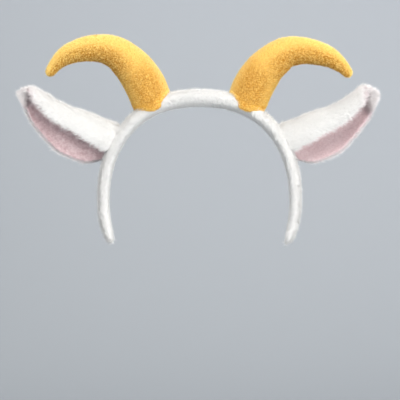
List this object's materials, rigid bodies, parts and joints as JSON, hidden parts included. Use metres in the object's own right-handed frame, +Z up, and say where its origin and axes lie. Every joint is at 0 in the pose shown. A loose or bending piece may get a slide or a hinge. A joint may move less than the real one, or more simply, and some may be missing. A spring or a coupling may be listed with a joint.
{
  "type": "plush horns and ears headband",
  "caption": "Soft fur-covered headband with curved stuffed horns on top and folded, lined ears at the sides, worn over the crown of the head.",
  "frame": {"origin": "inner face of the band at the top of the head, on its front to back midline", "axes": "+X to the wearer's left, along the longest extent; -Y to the wearer's front; +Z up"},
  "size_m": [0.3733, 0.0382, 0.2148],
  "materials": {
    "white_fur": "soft faux fur with a pile of 3 to 5 mm",
    "gold_plush": "short dense plush",
    "pink_plush": "short matt plush"
  },
  "bodies": {
    "root": {"headband": "white_fur", "horn_right": "gold_plush", "horn_left": "gold_plush", "ear_right": "white_fur", "ear_left": "white_fur", "ear_lining_right": "pink_plush", "ear_lining_left": "pink_plush"}
  },
  "joints": []
}
